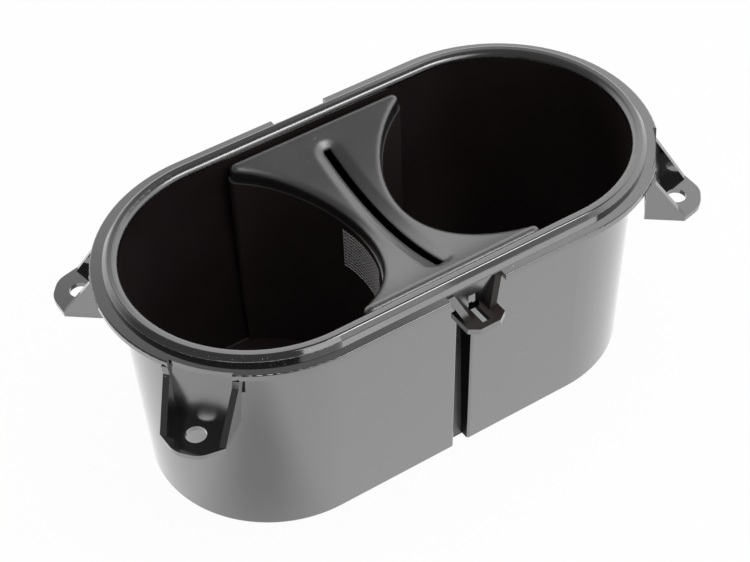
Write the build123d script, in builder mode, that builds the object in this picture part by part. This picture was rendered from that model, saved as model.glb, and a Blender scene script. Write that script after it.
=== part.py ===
from build123d import *
from math import asin, cos, degrees, radians, sin, sqrt, tan
import os

# Twin cup holder for a car's centre console: a round-ended tub with a rim, four screw tabs and two clip
# brackets, and a drop-in divider that parts the tub into two wells. Millimetres, +X along the tub, +Z up,
# origin at the middle of the underside.

# Tub walls
end_spacing = 87.5  # between the axes of the two round ends
base_radius = 39.9  # outside of the round ends at the underside
draft = 2.5  # outward lean of the walls, degrees
wall = 2.2
floor = 2.2
base_edge = 1.2  # rounding under the walls
floor_round = 0.8  # rounding between floor and walls

# Rim, from the inside of the wall outwards
flange_top = 77.6
flange_thick = 2.0
lip_width = 3.6  # from the wall to the ridge
lip_round = 2.2
lip_fall = 0.3  # the lip's top leans inwards by this
ridge_height = 2.9  # above the flange
ridge_edge = 0.8
bevel_width = 1.4  # slanted face outside the ridge
bevel_height = 1.5
bevel_edge = 0.4
flange_width = 3.9
flange_edge = 0.4

# Screw tabs, measured outwards from the flange edge
tab_angle = 39.3  # from the tub's long axis, degrees
tab_drop = 19.4  # from the flange top down to the plate
plate_thick = 1.6
plate_width = 20.0
hole_radius = 3.15
hole_reach = 6.5
shoulder_reach = 9.2
tip_reach = 14.2
tip_width = 7.6
tip_round = 7.5
cheek_thick = 2.0
cheek_lean = 5.5  # the cheeks draw together downwards, degrees
cheek_step = 3.0  # upright part of the cheek's front edge
cheek_setback = 0.9  # from the flange edge in to that upright part
apron_setback = 1.2  # from the flange edge in to the back of the pocket
apron_thick = 2.2
apron_lean = 3.0  # the apron's foot stands out from its head by this

# Clip brackets in the middle of the long sides
clip_offset = 0.6  # along X from the middle of the tub
clip_mouth = 19.6  # width at the flange
clip_foot = 11.2  # width at the shelf
clip_drop = 9.6  # from the flange top down to the shelf
clip_setback = 2.4  # from the flange edge in to the bracket's back
clip_wall = 2.0
rib_width = 2.4
rib_head = 0.5  # depth of the ribs in front of that back at their top
rib_foot = 3.4  # the same at the shelf
rib_drop = 0.4  # from the flange top down to the ribs
shelf_width = 13.4
shelf_reach = 6.2  # outwards from the flange edge
shelf_nose = 7.2  # width of the shelf's front edge
shelf_corner = 2.2  # depth of its slanted corners
clip_slot_width = 2.7
clip_slot_length = 6.3
clip_slot_inset = 2.1  # from the slot to the shelf's front edge
window_width = 3.8
window_height = 5.6

# Locating grooves below the brackets
groove_offset = 1.1  # along X from the middle of the tub
groove_width = 5.2
groove_depth = 3.4  # at the underside
groove_gap = 1.0  # from its end up to the shelf
groove_edge = 0.9

# Divider
divider_gap = 1.1  # to the tub's walls
waist = 16.2
corner_spread = 88.1  # between the corners, before they are rounded
dish_low = 8.9  # the top's lowest line below the flange top
dish_radius = 85.5
top_thick = 2.0
side_thick = 2.0
skirt = 4.7
skirt_inset = 0.3  # the skirt stands back from the walls below it
corner_round = 1.9
edge_round = 1.8
slot_width = 2.7
slot_length = 63.4
trough_width = 9.4
trough_depth = 1.1
trough_ease = 0.02  # the trough's ball ends are larger than its bore by this, to meet it cleanly

# Grip panels in the divider's walls
grip_width = 22.5
grip_height = 15.6
grip_offset = 2.2  # towards the front
grip_drop = 6.7  # below the top's lowest line
grip_depth = 0.45

# Worked out from the sizes above
end_x = end_spacing / 2
rim_top = flange_top + ridge_height
flange_under = flange_top - flange_thick
plate_top = flange_top - tab_drop
shelf_top = flange_top - clip_drop
shelf_under = shelf_top - clip_wall
groove_top = shelf_under - groove_gap
lip_top = rim_top - lip_fall
dish_floor = flange_top - dish_low
dish_centre = dish_floor + dish_radius  # height of the axis the dish is turned about


def outer_radius(z):
    return base_radius + z * tan(radians(draft))


def inner_radius(z):
    return outer_radius(z) - wall


ridge_radius = inner_radius(flange_top) + lip_width
bevel_radius = ridge_radius + bevel_width
flange_radius = bevel_radius + flange_width
pocket_radius = flange_radius - apron_setback
apron_radius = pocket_radius - apron_thick
clip_back = flange_radius - clip_setback
groove_back = base_radius - groove_depth
half_depth = inner_radius(flange_top) - divider_gap


tab_cos = cos(radians(tab_angle))
tab_sin = sin(radians(tab_angle))


def tab_level(z):
    """Level plane on the axis of the right-hand end, its x direction along the front right tab."""
    return Plane(origin=(end_x, 0, z), x_dir=(tab_cos, -tab_sin, 0), z_dir=(0, 0, 1))


# Upright planes across the tab at the back of its apron, and along the tab through its middle
tab_across = Plane(
    origin=(end_x + apron_radius * tab_cos, -apron_radius * tab_sin, 0),
    x_dir=(tab_sin, tab_cos, 0),
    z_dir=(tab_cos, -tab_sin, 0),
)
tab_along = Plane(origin=(end_x, 0, 0), x_dir=(tab_cos, -tab_sin, 0), z_dir=(-tab_sin, -tab_cos, 0))


def cheek_outline(inset):
    """Section across the tab between its two cheeks, drawn in by inset."""
    foot = plate_width / 2 - inset
    head = foot + (flange_under - plate_top) * tan(radians(cheek_lean))
    return [(-foot, plate_top), (foot, plate_top), (head, flange_under), (-head, flange_under)]


# The apron closes the back of the tab's pocket
apron_height = flange_under - plate_top
apron_seat = (Align.CENTER, Align.CENTER, Align.MIN)
with BuildPart() as apron:
    with Locations((end_x, 0, plate_top)):
        Cone(pocket_radius + apron_lean, pocket_radius, apron_height, align=apron_seat)
        Cone(apron_radius + apron_lean, apron_radius, apron_height, align=apron_seat, mode=Mode.SUBTRACT)
    with BuildSketch(tab_across):
        Polygon(*cheek_outline(0), align=None)
    extrude(amount=apron_thick + apron_lean, both=True, mode=Mode.INTERSECT)

# One screw tab: a level plate with a hole, the apron and two cheeks with slanted front edges
with BuildPart() as screw_tab:
    with BuildSketch(tab_across):
        Polygon(*cheek_outline(0), align=None)
        Polygon(*cheek_outline(cheek_thick), align=None, mode=Mode.SUBTRACT)
    extrude(amount=apron_thick + apron_setback + shoulder_reach)
    with BuildSketch(tab_along):
        Polygon(
            (flange_radius - cheek_setback, flange_under),
            (flange_radius - cheek_setback, flange_under - cheek_step),
            (flange_radius + shoulder_reach, plate_top),
            (flange_radius + shoulder_reach, flange_under),
            align=None,
        )
    extrude(amount=plate_width, both=True, mode=Mode.SUBTRACT)
    add(apron.part)
    plate_outline = [
        (apron_radius, -plate_width / 2),
        (flange_radius + shoulder_reach, -plate_width / 2),
        (flange_radius + tip_reach, -tip_width / 2),
        (flange_radius + tip_reach, tip_width / 2),
        (flange_radius + shoulder_reach, plate_width / 2),
        (apron_radius, plate_width / 2),
    ]
    with BuildSketch(tab_level(plate_top - plate_thick)):
        with BuildLine():
            FilletPolyline(*plate_outline, radius=[0, 0, tip_round, tip_round, 0, 0], close=True)
        make_face()
        with Locations((flange_radius + hole_reach, 0)):
            Circle(hole_radius, mode=Mode.SUBTRACT)
    extrude(amount=plate_thick)

# One clip bracket: a back wall with two ribs, which draw together and grow deeper from the flange down to a
# slotted shelf
clip_front = Plane(origin=(clip_offset, -clip_back, 0), x_dir=(1, 0, 0), z_dir=(0, -1, 0))
clip_level = Plane(origin=(clip_offset, 0, shelf_under), x_dir=(1, 0, 0), z_dir=(0, 0, 1))
clip_side = Plane(origin=(clip_offset, 0, 0), x_dir=(0, -1, 0), z_dir=(-1, 0, 0))


def clip_outline(inset, top):
    """Front view of the bracket between its ribs from the shelf up to top, drawn in by inset."""
    foot = clip_foot / 2 - inset
    head = foot + (clip_mouth - clip_foot) / 2 * (top - shelf_top) / clip_drop
    return [(-foot, shelf_top), (foot, shelf_top), (head, top), (-head, top)]


with BuildPart() as clip:
    with BuildSketch(clip_front):
        Polygon(*clip_outline(0, flange_top - rib_drop), align=None)
        Polygon(*clip_outline(rib_width, flange_top - rib_drop), align=None, mode=Mode.SUBTRACT)
    extrude(amount=rib_foot)
    with BuildSketch(clip_side):
        Polygon(
            (clip_back + rib_foot, shelf_top),
            (clip_back + rib_head, flange_top),
            (clip_back + rib_foot, flange_top),
            align=None,
        )
    extrude(amount=clip_mouth, both=True, mode=Mode.SUBTRACT)
    with BuildSketch(clip_front):
        Polygon(*clip_outline(0, flange_under), align=None)
        with Locations((0, shelf_top + window_height / 2)):
            Rectangle(window_width, window_height, mode=Mode.SUBTRACT)
    extrude(amount=-clip_wall)
    with BuildSketch(clip_level):
        Polygon(
            (-shelf_width / 2, clip_wall - clip_back),
            (-shelf_width / 2, shelf_corner - flange_radius - shelf_reach),
            (-shelf_nose / 2, -flange_radius - shelf_reach),
            (shelf_nose / 2, -flange_radius - shelf_reach),
            (shelf_width / 2, shelf_corner - flange_radius - shelf_reach),
            (shelf_width / 2, clip_wall - clip_back),
            align=None,
        )
        with Locations((0, clip_slot_inset + clip_slot_length / 2 - flange_radius - shelf_reach)):
            Rectangle(clip_slot_width, clip_slot_length, mode=Mode.SUBTRACT)
    extrude(amount=clip_wall)

# The tub: a quarter of the bin with one tab, mirrored to the front half, which takes the bracket and
# the groove and is mirrored to the whole; the flange is cut back above the pockets of the two front tabs
section_plane = Plane(origin=(end_x, 0, 0), x_dir=(0, -1, 0), z_dir=(-1, 0, 0))
end_axis = Axis((end_x, 0, 0), (0, 0, 1))
groove_side = Plane(origin=(groove_offset, 0, 0), x_dir=(0, -1, 0), z_dir=(-1, 0, 0))
section_outline = [
    ((0, 0), 0),
    ((base_radius, 0), base_edge),
    ((outer_radius(flange_under), flange_under), 0),
    ((flange_radius, flange_under), 0),
    ((flange_radius, flange_top), flange_edge),
    ((bevel_radius, flange_top), 0),
    ((bevel_radius, rim_top - bevel_height), bevel_edge),
    ((ridge_radius, rim_top), ridge_edge),
    ((inner_radius(lip_top), lip_top), lip_round),
    ((inner_radius(floor), floor), floor_round),
    ((0, floor), 0),
]
with BuildPart() as tub:
    with BuildSketch(section_plane) as section:
        with BuildLine():
            FilletPolyline(
                *[point for point, rounding in section_outline],
                radius=[rounding for point, rounding in section_outline],
                close=True,
            )
        make_face()
    extrude(amount=end_x)
    revolve(section.sketch, axis=end_axis, revolution_arc=90)
    add(screw_tab.part)
    mirror(about=Plane.YZ)
    with BuildSketch(clip_front):
        with Locations((0, flange_under)):
            Rectangle(clip_mouth, flange_thick, align=(Align.CENTER, Align.MIN))
    extrude(amount=clip_setback, mode=Mode.SUBTRACT)
    add(clip.part)
    with BuildSketch(groove_side):
        Polygon(
            (groove_back - wall, floor / 2),
            (inner_radius(0) + wall / 2, floor / 2),
            (inner_radius(groove_top) + wall / 2, groove_top + wall),
            (groove_back - wall, groove_top + wall),
            align=None,
        )
    extrude(amount=groove_width / 2 + wall, both=True)
    with BuildSketch(groove_side):
        Polygon(
            (groove_back, 0),
            (outer_radius(groove_top), 0),
            (outer_radius(groove_top), groove_top),
            (groove_back, groove_top),
            align=None,
        )
    extrude(amount=groove_width / 2, both=True, mode=Mode.SUBTRACT)
    long_edges = tub.edges().filter_by(lambda edge: edge.length > groove_top / 2)
    mouth = long_edges.filter_by(
        lambda edge: abs(abs(edge.center().X - groove_offset) - groove_width / 2) < groove_edge / 10
        and edge.center().Y < -base_radius
    )
    fillet(mouth, groove_edge)
    mirror(about=Plane.XZ)
    with BuildSketch(tab_level(flange_under)) as flange_cut:
        half_cut = plate_width / 2 - cheek_thick + (flange_under - plate_top) * tan(radians(cheek_lean))
        with Locations((flange_radius, 0)):
            Rectangle(flange_radius, 2 * half_cut)
        Circle(pocket_radius, mode=Mode.SUBTRACT)
    extrude(amount=flange_thick, mode=Mode.SUBTRACT)
    extrude(flange_cut.sketch.mirror(Plane.YZ), amount=flange_thick, mode=Mode.SUBTRACT)
tub.part.label = "tub"

# The divider's plan has concave sides, arcs about two axes beyond its ends
arc_depth = half_depth + skirt_inset
arc_rise = (corner_spread - waist) / 2
well_radius = (arc_rise**2 + arc_depth**2) / (2 * arc_rise)
well_axis = waist / 2 + well_radius


def bow_tie(inset, depth):
    """Plan of the divider with its concave sides drawn in by inset and its straight edges at +-depth."""
    radius = well_radius + inset
    corner = well_axis - sqrt(radius**2 - depth**2)
    with BuildSketch() as plan:
        with BuildLine():
            Line((-corner, -depth), (corner, -depth))
            ThreePointArc((corner, -depth), (well_axis - radius, 0), (corner, depth))
            Line((corner, depth), (-corner, depth))
            ThreePointArc((-corner, depth), (radius - well_axis, 0), (-corner, -depth))
        make_face()
    return plan.sketch


def dish(drop):
    """Round bar whose underside lies drop below the divider's top, everything above it included."""
    with BuildPart() as bar:
        with BuildSketch(Plane.YZ):
            with Locations((0, dish_centre)):
                Circle(dish_radius + drop)
        extrude(amount=corner_spread, both=True)
    return bar.part


def side_slope(inset):
    """Upright slice whose long sides lean like the tub's walls, inset from them."""
    with BuildPart() as slice:
        with BuildSketch(Plane.YZ):
            low = inner_radius(floor) - inset
            high = inner_radius(dish_centre) - inset
            Polygon((-low, floor), (low, floor), (high, dish_centre), (-high, dish_centre), align=None)
        extrude(amount=corner_spread, both=True)
    return slice.part


with BuildPart() as lower_walls:
    with BuildSketch(Plane.XY.offset(floor)) as wall_plan:
        add(bow_tie(0, half_depth))
        fillet(wall_plan.vertices(), corner_round)
    extrude(amount=dish_centre - floor)
    add(dish(skirt), mode=Mode.SUBTRACT)

with BuildPart() as hollow:
    with BuildSketch(Plane.XY.offset(floor)):
        add(bow_tie(skirt_inset + side_thick, half_depth))
    extrude(amount=dish_centre - floor)
    add(side_slope(divider_gap + side_thick), mode=Mode.INTERSECT)
    add(dish(top_thick), mode=Mode.SUBTRACT)

with BuildPart() as open_ends:
    with BuildSketch(Plane.XY.offset(floor)):
        add(bow_tie(side_thick + skirt_inset, arc_depth))
    extrude(amount=dish_centre - floor)
    add(dish(skirt), mode=Mode.SUBTRACT)

# A shallow round-bottomed trough along the dished top, with ball ends
trough_round = (trough_width**2 / 4 + trough_depth**2) / (2 * trough_depth)
trough_path = dish_radius + trough_depth - trough_round
trough_turn = asin((slot_length / 2 - trough_width / 4) / dish_radius)
dish_axis = Axis((0, 0, dish_centre), (1, 0, 0))


def trough_run(turn):
    """The trough from the middle of the dish to one end."""
    with BuildPart() as run:
        with BuildSketch(Plane.XZ):
            with Locations((0, dish_centre - trough_path)):
                Circle(trough_round)
        revolve(axis=dish_axis, revolution_arc=degrees(turn))
    return run.part


with BuildPart() as divider:
    with BuildSketch(Plane.XY.offset(floor)) as skirt_plan:
        add(bow_tie(skirt_inset, half_depth))
        fillet(skirt_plan.vertices(), corner_round)
    extrude(amount=dish_centre - floor)
    add(dish(0), mode=Mode.SUBTRACT)
    fillet(divider.faces().sort_by(Axis.Z)[-1].outer_wire().edges(), edge_round)
    add(lower_walls.part)
    add(side_slope(divider_gap), mode=Mode.INTERSECT)
    add(hollow.part, mode=Mode.SUBTRACT)
    add(open_ends.part, mode=Mode.SUBTRACT)
    for turn in (-trough_turn, trough_turn):
        add(trough_run(turn), mode=Mode.SUBTRACT)
        with Locations((0, trough_path * sin(turn), dish_centre - trough_path * cos(turn))):
            Sphere(trough_round + trough_ease, mode=Mode.SUBTRACT)
    with BuildSketch(Plane.XY.offset(dish_floor - skirt)):
        Rectangle(slot_width, slot_length)
    extrude(amount=dish_radius + skirt, mode=Mode.SUBTRACT)
    for side in (-1, 1):
        with BuildSketch(Plane.XY.offset(dish_floor - grip_drop - grip_height)):
            with Locations((side * well_axis, 0)):
                Circle(well_radius + grip_depth)
            with Locations((side * well_axis / 2, -grip_offset)):
                Rectangle(well_axis, grip_width, mode=Mode.INTERSECT)
        extrude(amount=grip_height, mode=Mode.SUBTRACT)
divider.part.label = "divider"

os.makedirs("parts", exist_ok=True)
export_step(tub.part, "parts/tub.step")
export_step(divider.part, "parts/divider.step")
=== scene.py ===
from math import asin, cos, hypot, pi, radians, sin, sqrt, tan

import bpy
from mathutils import Matrix, Vector


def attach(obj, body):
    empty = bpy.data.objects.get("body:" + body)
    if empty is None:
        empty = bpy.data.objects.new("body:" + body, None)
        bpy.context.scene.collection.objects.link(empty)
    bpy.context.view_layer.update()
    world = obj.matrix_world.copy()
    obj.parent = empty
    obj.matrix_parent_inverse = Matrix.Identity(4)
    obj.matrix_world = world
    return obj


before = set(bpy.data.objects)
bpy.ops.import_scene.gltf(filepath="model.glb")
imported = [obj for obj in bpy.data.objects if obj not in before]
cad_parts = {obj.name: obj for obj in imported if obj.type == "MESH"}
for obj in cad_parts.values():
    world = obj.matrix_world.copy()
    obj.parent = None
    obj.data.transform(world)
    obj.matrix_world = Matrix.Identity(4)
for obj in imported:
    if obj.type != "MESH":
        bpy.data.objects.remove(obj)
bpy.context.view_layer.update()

# The tub: one shot of black ABS, its bin, rim, screw tabs and clip brackets moulded together.
# The mould was polished, so the skin is glossy, with a slow waviness, finger haze and a little dust
# that has gathered in the groove outside the rim and in the front left pocket.
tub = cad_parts["tub"]


def empty_tree(owner):
    """Clear the node tree of a new material or world and hand it back."""
    owner.use_nodes = True
    owner.node_tree.nodes.clear()
    return owner.node_tree


def combine(tree, operation, first, second=0.0):
    """One step of arithmetic on numbers or node outputs."""
    node = tree.nodes.new("ShaderNodeMath")
    node.operation = operation
    for socket, value in zip(node.inputs, (first, second)):
        if isinstance(value, float):
            socket.default_value = value
        else:
            tree.links.new(value, socket)
    return node.outputs["Value"]


def measure(tree, operation, vector, other=(0, 0, 0)):
    """A distance, a length or a dot product of a node's vector with a fixed one."""
    node = tree.nodes.new("ShaderNodeVectorMath")
    node.operation = operation
    node.inputs[1].default_value = other
    tree.links.new(vector, node.inputs[0])
    return node.outputs["Value"]


def remap(tree, value, low, high, to_low=0.0, to_high=1.0, smooth=False):
    """Carry a value from one range over to another and hold it at the ends."""
    node = tree.nodes.new("ShaderNodeMapRange")
    if smooth:
        node.interpolation_type = "SMOOTHSTEP"
    node.inputs["From Min"].default_value = low
    node.inputs["From Max"].default_value = high
    node.inputs["To Min"].default_value = to_low
    node.inputs["To Max"].default_value = to_high
    tree.links.new(value, node.inputs["Value"])
    return node.outputs["Result"]


def black_plastic(name, dark, light, grain, smooth, rough):
    """Moulded plastic whose tone and roughness drift between two values in clouds of the given scale."""
    material = bpy.data.materials.new(name)
    tree = empty_tree(material)
    output = tree.nodes.new("ShaderNodeOutputMaterial")
    plastic = tree.nodes.new("ShaderNodeBsdfPrincipled")
    place = tree.nodes.new("ShaderNodeTexCoord")
    clouds = tree.nodes.new("ShaderNodeTexNoise")
    clouds.inputs["Scale"].default_value = grain
    clouds.inputs["Detail"].default_value = 5
    calm, thick = 0.3, 0.7  # the clouds' values that take the first and the second tone
    tone = tree.nodes.new("ShaderNodeValToRGB")
    for stop, position, colour in zip(tone.color_ramp.elements, (calm, thick), (dark, light)):
        stop.position = position
        stop.color = (*colour, 1)
    tree.links.new(place.outputs["Object"], clouds.inputs["Vector"])
    tree.links.new(clouds.outputs["Fac"], tone.inputs["Fac"])
    tree.links.new(tone.outputs["Color"], plastic.inputs["Base Color"])
    haze = remap(tree, clouds.outputs["Fac"], calm, thick, smooth, rough)
    tree.links.new(haze, plastic.inputs["Roughness"])
    tree.links.new(plastic.outputs["BSDF"], output.inputs["Surface"])
    return material, plastic


def harden(plastic, coat_roughness):
    """Give the plastic the strong sheen of a dense moulded skin."""
    plastic.inputs["IOR"].default_value = 2.4
    plastic.inputs["Coat Weight"].default_value = 1.0
    plastic.inputs["Coat IOR"].default_value = 1.7
    plastic.inputs["Coat Roughness"].default_value = coat_roughness


def waviness(material, plastic, scale, depth):
    """Slow unevenness of a moulded skin."""
    tree = material.node_tree
    place = tree.nodes.new("ShaderNodeTexCoord")
    ripple = tree.nodes.new("ShaderNodeTexNoise")
    ripple.inputs["Scale"].default_value = scale
    ripple.inputs["Detail"].default_value = 1
    relief = tree.nodes.new("ShaderNodeBump")
    relief.inputs["Strength"].default_value = 0.25
    relief.inputs["Distance"].default_value = depth
    tree.links.new(place.outputs["Object"], ripple.inputs["Vector"])
    tree.links.new(ripple.outputs["Fac"], relief.inputs["Height"])
    tree.links.new(relief.outputs["Normal"], plastic.inputs["Normal"])


def tint(tree, plastic, amount, colour):
    """Lay a colour over the plastic's own, by the amount that a node gives."""
    paint = tree.nodes.new("ShaderNodeMix")
    paint.data_type = "RGBA"
    paint.inputs["B"].default_value = (*colour, 1)
    tree.links.new(amount, paint.inputs["Factor"])
    tree.links.new(plastic.inputs["Base Color"].links[0].from_socket, paint.inputs["A"])
    tree.links.new(paint.outputs["Result"], plastic.inputs["Base Color"])


def dust(material, plastic, patches, speck_spacing, dust_colour, ring=None):
    """Pale specks, thick in patches of (centre, reach, share of the cells with a speck) and absent elsewhere.

    A ring of (axis, radius, half width) keeps them in a round groove."""
    tree = material.node_tree
    place = tree.nodes.new("ShaderNodeTexCoord").outputs["Object"]
    cells = tree.nodes.new("ShaderNodeTexVoronoi")
    cells.inputs["Scale"].default_value = 1 / speck_spacing
    tree.links.new(place, cells.inputs["Vector"])
    lot = tree.nodes.new("ShaderNodeSeparateColor")
    tree.links.new(cells.outputs["Color"], lot.inputs["Color"])
    crowd = 0.0
    for centre, reach, share in patches:
        near = remap(tree, measure(tree, "DISTANCE", place, centre), 0.0, reach, share, 0.0)
        crowd = combine(tree, "MAXIMUM", near, crowd)
    holds = combine(tree, "LESS_THAN", lot.outputs["Red"], crowd)
    largest = 0.26  # of the specks, in cells
    size = combine(tree, "MULTIPLY", lot.outputs["Green"], largest)
    speck = combine(tree, "MULTIPLY", holds, combine(tree, "LESS_THAN", cells.outputs["Distance"], size))
    if ring:
        axis, radius, half_width = ring
        flat = tree.nodes.new("ShaderNodeVectorMath")
        flat.operation = "MULTIPLY"
        flat.inputs[1].default_value = (1, 1, 0)
        tree.links.new(place, flat.inputs[0])
        off = combine(tree, "SUBTRACT", measure(tree, "DISTANCE", flat.outputs["Vector"], axis), radius)
        kept = combine(tree, "LESS_THAN", combine(tree, "ABSOLUTE", off), half_width)
        speck = combine(tree, "MULTIPLY", speck, kept)
    tint(tree, plastic, speck, dust_colour)


deep_black, soft_black = (0.0030, 0.0027, 0.0028), (0.0055, 0.0050, 0.0052)
tub_plastic, skin = black_plastic("tub_plastic", deep_black, soft_black, grain=38, smooth=0.07, rough=0.12)
harden(skin, coat_roughness=0.04)
waviness(tub_plastic, skin, scale=26, depth=0.0004)
end_axis = 0.04375  # of the round ends, along X
pale_dust = (0.42, 0.40, 0.38)
groove_dust = [
    ((-0.0782, -0.0300, 0.0782), 0.008, 0.50),
    ((-0.0715, -0.0365, 0.0782), 0.009, 0.75),
    ((-0.0645, -0.0407, 0.0782), 0.008, 0.55),
    ((-0.0560, -0.0438, 0.0782), 0.008, 0.60),
]
dust(tub_plastic, skin, groove_dust, 0.0006, pale_dust, ring=((-end_axis, 0, 0), 0.0458, 0.0008))
stray_dust = [
    ((-0.0875, -0.0230, 0.0670), 0.006, 0.25),
    ((-0.0700, -0.0410, 0.0640), 0.010, 0.04),
    ((0.0300, -0.0470, 0.0776), 0.030, 0.02),
    ((0.0850, 0.0100, 0.0776), 0.030, 0.02),
]
dust(tub_plastic, skin, stray_dust, 0.0008, pale_dust)

# Duller parts of the tub: the same moulding, where the mould was left unpolished or the plastic is rubbed.
# The bin is deep black inside, the lip's rounding, the pockets and the clip brackets are satin, and the
# locating grooves have black sides with little sheen and a back painted grey, a painted reflection.
well_plastic, skin = black_plastic(
    "well_plastic", (0.0150, 0.0100, 0.0103), (0.0265, 0.0190, 0.0197), grain=24, smooth=0.30, rough=0.42)
skin.inputs["IOR"].default_value = 1.45

pocket_plastic, skin = black_plastic(
    "pocket_plastic", deep_black, soft_black, grain=38, smooth=0.20, rough=0.26)
harden(skin, coat_roughness=0.20)

groove_plastic, skin = black_plastic(
    "groove_plastic", (0.0030, 0.0020, 0.0020), (0.0050, 0.0036, 0.0036), grain=38, smooth=0.45, rough=0.55)
skin.inputs["Specular IOR Level"].default_value = 0.10

# The back of the locating grooves: a painted reflection, a grey tone that stands in for the pale things it
# mirrors.
painted_reflection_plastic, skin = black_plastic(
    "painted_reflection_plastic", (0.055, 0.053, 0.055), (0.100, 0.096, 0.098), grain=90, smooth=0.25, rough=0.35)
skin.inputs["IOR"].default_value = 1.7

base_radius = 0.0399  # outside of the walls at the underside
wall = 0.0022
draft = radians(2.5)
bin_low, wall_head = 0.0010, 0.0780  # from inside the floor to where the walls turn into the lip
skin_depth = 0.0002
lip_round = 0.0022
groove_axis, groove_reach = 0.0011, 0.0032
groove_inmost, groove_back = 0.0300, 0.0368
pocket_floor, pocket_head = 0.0583, 0.0760
pocket_inner, pocket_outer = 0.0440, 0.0530
bracket_half, bracket_reach = 0.012, 0.0474  # half width, and the backs' distance from the middle plane
shelf_low, rib_head = 0.0655, 0.0776
right_rib = 0.002  # the right rib lies beyond this along X
mostly, slightly, half = 0.9, 0.1, 0.5  # shares of a face's normal along one axis

tub.data.materials.clear()
for material in (tub_plastic, well_plastic, pocket_plastic, groove_plastic, painted_reflection_plastic):
    tub.data.materials.append(material)
dull, satin, black, painted_reflection = 1, 2, 3, 4
for face in tub.data.polygons:
    x, y, z = face.center
    normal = face.normal
    reach = hypot(max(abs(x) - end_axis, 0), y)
    past_wall = reach - (base_radius - wall + z * tan(draft))
    in_bin = bin_low < z < wall_head and past_wall < skin_depth
    on_lip_round = z > wall_head and past_wall < lip_round
    faces_out = abs(normal.z) < half and normal.y * y > -half * abs(y)
    in_groove = abs(x - groove_axis) < groove_reach and abs(y) > groove_inmost and faces_out
    in_pocket = pocket_floor < z < pocket_head and pocket_inner < reach < pocket_outer and abs(x) > end_axis
    on_bracket = abs(x) < bracket_half and abs(y) > bracket_reach and shelf_low < z < rib_head
    dull_bracket = on_bracket and (normal.z > mostly or x > right_rib and normal.z > slightly)
    if in_groove and abs(normal.x) > mostly:
        face.material_index = black
    elif in_groove and abs(normal.y) > mostly and abs(y) < groove_back:
        face.material_index = painted_reflection
    elif in_bin and not in_groove or dull_bracket:
        face.material_index = dull
    elif in_pocket or on_bracket or on_lip_round:
        face.material_index = satin

# The divider: a second black moulding that drops into the tub and parts it into two wells.
# Its dished top has a finer, satin skin than the tub, soft edges and dust along its rear edge.
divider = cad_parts["divider"]
skirt_radius = 0.0902  # the skirt's lower edge is an arc, seen from the end
skirt_foot = 0.0640  # its height in the middle
ledge_depth = 0.0003
edge_softness = 0.0024

divider_plastic, skin = black_plastic(
    "divider_plastic", (0.0075, 0.0068, 0.0068), (0.0130, 0.0120, 0.0120), grain=55, smooth=0.33, rough=0.40)
harden(skin, coat_roughness=0.30)
tree = divider_plastic.node_tree
soft = tree.nodes.new("ShaderNodeBevel")
soft.samples = 16
soft.inputs["Radius"].default_value = edge_softness
tree.links.new(soft.outputs["Normal"], skin.inputs["Normal"])
tree.links.new(soft.outputs["Normal"], skin.inputs["Coat Normal"])
divider_dust = [
    ((-0.0013, 0.0386, 0.0740), 0.012, 0.20),
    ((-0.0101, 0.0369, 0.0750), 0.012, 0.24),
    ((-0.0240, 0.0390, 0.0770), 0.010, 0.16),
]
dust(divider_plastic, skin, divider_dust, 0.0007, pale_dust)

divider_wall, skin = black_plastic(
    "divider_wall", (0.0270, 0.0190, 0.0195), (0.0450, 0.0340, 0.0350), grain=24, smooth=0.30, rough=0.42)
skin.inputs["IOR"].default_value = 1.45

divider.data.materials.clear()
for material in (divider_plastic, divider_wall, pocket_plastic):
    divider.data.materials.append(material)
for face in divider.data.polygons:
    x, y, z = face.center
    above_foot = z - skirt_foot - skirt_radius + sqrt(skirt_radius**2 - y**2)
    if abs(above_foot) < ledge_depth and face.normal.z > half:
        face.material_index = satin
    elif above_foot < 0:
        face.material_index = dull

# Grip panels: a square lattice of fine ridges moulded into a shallow recess in each concave wall of the
# divider, against a cup's slip. The crests are painted pale grey, a painted highlight for the light they
# catch.
well_axis = 0.048649
recess_radius = 0.040999
grip_front, grip_rear = -0.01345, 0.00905
grip_low, grip_high = 0.0464, 0.0620
ridges_across, ridges_upward = 17, 12
ridge_height = 0.00042
steps_a_cell = 8
lift = 0.00001  # off the recess, so that the two skins don't share a place
crest_highlight_grey = (0.85, 0.82, 0.82)

grip_plastic, skin = black_plastic(
    "grip_plastic", (0.0040, 0.0030, 0.0030), (0.0070, 0.0056, 0.0056), grain=60, smooth=0.24, rough=0.32)
skin.inputs["IOR"].default_value = 2.2
# The crests' pale grey is a painted highlight, laid on by the crest attribute.
crest = grip_plastic.node_tree.nodes.new("ShaderNodeAttribute")
crest.attribute_name = "crest"
tint(grip_plastic.node_tree, skin, crest.outputs["Fac"], crest_highlight_grey)


def ridge(place_in_cells):
    """Height of a ridge, from 0 to 1, at a place counted in cells from the middle of a ridge."""
    return (0.5 + 0.5 * cos(2 * pi * place_in_cells)) ** 2


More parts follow.
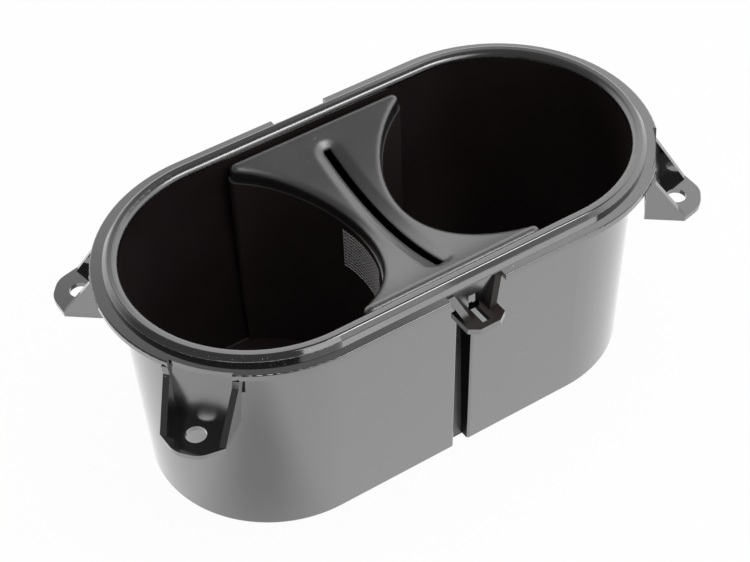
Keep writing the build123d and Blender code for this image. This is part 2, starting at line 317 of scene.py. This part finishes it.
for name, side in (("grip_left", -1), ("grip_right", 1)):
    points, faces, crests = [], [], []
    columns, rows = ridges_across * steps_a_cell, ridges_upward * steps_a_cell
    first, last = asin(grip_front / recess_radius), asin(grip_rear / recess_radius)
    for row in range(rows + 1):
        for column in range(columns + 1):
            turn = first + (last - first) * column / columns
            height = max(ridge(column / steps_a_cell), ridge(row / steps_a_cell))
            crests.append(height**1.5)
            radius = recess_radius - lift - height * ridge_height
            points.append((side * (well_axis - radius * cos(turn)), radius * sin(turn),
                           grip_low + (grip_high - grip_low) * row / rows))
    for row in range(rows):
        for column in range(columns):
            corner = row * (columns + 1) + column
            quad = (corner, corner + 1, corner + columns + 2, corner + columns + 1)
            faces.append(quad if side > 0 else quad[::-1])
    mesh = bpy.data.meshes.new(name)
    mesh.from_pydata(points, [], faces)
    mesh.attributes.new("crest", "FLOAT", "POINT").data.foreach_set("value", crests)
    mesh.polygons.foreach_set("use_smooth", [True] * len(faces))
    mesh.update()
    grip = bpy.data.objects.new(name, mesh)
    bpy.context.scene.collection.objects.link(grip)
    mesh.materials.append(grip_plastic)
    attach(grip, "root")

# The table: a white sheet that fills the view and shows as plain white, with a little of the part's shadow.
# Where it is mirrored in the front of the left end, a soft shade is painted into its glow, a painted shadow.
table_half, table_drop = 3, 0.0002
table_corners = [(-table_half, -table_half, 0), (table_half, -table_half, 0),
                 (table_half, table_half, 0), (-table_half, table_half, 0)]
glow_share = 0.96  # of the plain white, over the lit sheet
# The painted shadow: a soft dip in the glow, seen only in reflections, at this place, turn and size.
shade_centre, shade_turn, shade_size = (-0.085, -0.050, 0), radians(52), (0.055, 0.037, 1)
shade_core, shade_level = 0.15, 0.62

table_mesh = bpy.data.meshes.new("table")
table_mesh.from_pydata(table_corners, [], [(0, 1, 2, 3)])
table = bpy.data.objects.new("table", table_mesh)
table.location.z = -table_drop
bpy.context.scene.collection.objects.link(table)
table_white = bpy.data.materials.new("table_white")
tree = empty_tree(table_white)
output = tree.nodes.new("ShaderNodeOutputMaterial")
matt = tree.nodes.new("ShaderNodeBsdfDiffuse")
matt.inputs["Color"].default_value = (0.9, 0.9, 0.9, 1)
glow = tree.nodes.new("ShaderNodeEmission")
path = tree.nodes.new("ShaderNodeLightPath")
place = tree.nodes.new("ShaderNodeTexCoord")
patch = tree.nodes.new("ShaderNodeMapping")
patch.vector_type = "TEXTURE"
patch.inputs["Location"].default_value = shade_centre
patch.inputs["Rotation"].default_value = (0, 0, shade_turn)
patch.inputs["Scale"].default_value = shade_size
tree.links.new(place.outputs["Object"], patch.inputs["Vector"])
off = measure(tree, "LENGTH", patch.outputs["Vector"])
shade = remap(tree, off, shade_core, 1.0, shade_level, 1.0, smooth=True)
tree.links.new(combine(tree, "MAXIMUM", path.outputs["Is Camera Ray"], shade), glow.inputs["Strength"])
seen = combine(tree, "MAXIMUM", path.outputs["Is Camera Ray"], path.outputs["Is Glossy Ray"])
mix = tree.nodes.new("ShaderNodeMixShader")
tree.links.new(combine(tree, "MULTIPLY", seen, glow_share), mix.inputs["Fac"])
tree.links.new(matt.outputs["BSDF"], mix.inputs[1])
tree.links.new(glow.outputs["Emission"], mix.inputs[2])
tree.links.new(mix.outputs["Shader"], output.inputs["Surface"])
table_mesh.materials.append(table_white)

# The backdrop: a bright sheet behind the table that ends at half height and stands a little taller on the
# right, where a wing of it comes round the side. The rest of the room is dim.
to_rear, to_right = (0.53, 0.848, 0), (0.956, -0.292, 0)
edge_heights = ((0.615, 1.0), (0.735, 0.13), (0.85, 0.04))  # how the sheet's brightness falls with height
sheet_from, sheet_full = -0.05, 0.6  # towards the rear, where the sheet begins and where it is full
wing_from, wing_full = 0.5, 0.88  # the same for its wing, towards the right
taller_from, taller_full, taller_by = 0.17, 0.27, 0.08
sheet_level, room_level = 0.85, 0.14

world = bpy.data.worlds.new("studio")
bpy.context.scene.world = world
tree = empty_tree(world)
output = tree.nodes.new("ShaderNodeOutputWorld")
sky = tree.nodes.new("ShaderNodeBackground")
sky.inputs["Color"].default_value = (1, 1, 1, 1)
place = tree.nodes.new("ShaderNodeTexCoord").outputs["Generated"]
split = tree.nodes.new("ShaderNodeSeparateXYZ")
tree.links.new(place, split.inputs["Vector"])
beside = measure(tree, "DOT_PRODUCT", place, to_right)
taller = remap(tree, beside, taller_from, taller_full, 0.0, -taller_by, smooth=True)
fall = tree.nodes.new("ShaderNodeValToRGB")
fall.color_ramp.elements.new(0.5)
for stop, (position, grey) in zip(fall.color_ramp.elements, edge_heights):
    stop.position = position
    stop.color = (grey, grey, grey, 1)
tree.links.new(combine(tree, "ADD", split.outputs["Z"], taller), fall.inputs["Fac"])
spread = remap(tree, measure(tree, "DOT_PRODUCT", place, to_rear), sheet_from, sheet_full, smooth=True)
wing = remap(tree, beside, wing_from, wing_full, smooth=True)
sheet = combine(tree, "MULTIPLY", combine(tree, "MAXIMUM", spread, wing), fall.outputs["Color"])
strength = combine(tree, "ADD", combine(tree, "MULTIPLY", sheet, sheet_level), room_level)
tree.links.new(strength, sky.inputs["Strength"])
tree.links.new(sky.outputs["Background"], output.inputs["Surface"])

# The lamps: a softbox with a dimmer edge to the front right, a lamp above it that draws the streak along the
# rear lip, and a large overhead light that gives no glint of its own. All face the part.
for name, place, width, height, energy in (
        ("softbox", (0.081, -0.663, 0.602), 0.33, 0.52, 0.72),
        ("softbox_edge", (0.266, -0.613, 0.602), 0.08, 0.52, 0.075),
        ("side_lamp", (0.378, -0.530, 0.797), 0.32, 0.32, 1.4),
        ("overhead", (0, 0, 1.2), 1.0, 1.0, 7.0)):
    lamp_data = bpy.data.lights.new(name, "AREA")
    lamp_data.shape = "RECTANGLE"
    lamp_data.size = width
    lamp_data.size_y = height
    lamp_data.energy = energy
    lamp = bpy.data.objects.new(name, lamp_data)
    lamp.location = place
    lamp.rotation_euler = Vector(place).to_track_quat("Z", "Y").to_euler()
    lamp.visible_glossy = name != "overhead"
    bpy.context.scene.collection.objects.link(lamp)

# The camera stands to the front left, well above the rim, a little tilted.
# It looks at the middle of the tub through a long lens.
turn, rise, roll = radians(-31.979), radians(44.368), radians(-2.289)
middle, distance = Vector((0, 0, 0.04)), 0.638627
picture_width, focal_length = 750, 2014.583  # pixels
shift_right, shift_up = -10.017, 2.706

camera_data = bpy.data.cameras.new("camera")
camera = bpy.data.objects.new("camera", camera_data)
bpy.context.scene.collection.objects.link(camera)
back = Vector((sin(turn) * cos(rise), -cos(turn) * cos(rise), sin(rise)))
right = Vector((cos(turn), sin(turn), 0))
up = back.cross(right)
tilted_right = cos(roll) * right + sin(roll) * up
tilted_up = cos(roll) * up - sin(roll) * right
camera.matrix_world = Matrix.Translation(middle + back * distance) @ Matrix(
    (tilted_right, tilted_up, back)).transposed().to_4x4()
camera_data.sensor_width = 36
camera_data.lens = camera_data.sensor_width * focal_length / picture_width
camera_data.shift_x = shift_right / picture_width
camera_data.shift_y = shift_up / picture_width
bpy.context.scene.camera = camera
bpy.context.scene.view_settings.view_transform = "Standard"
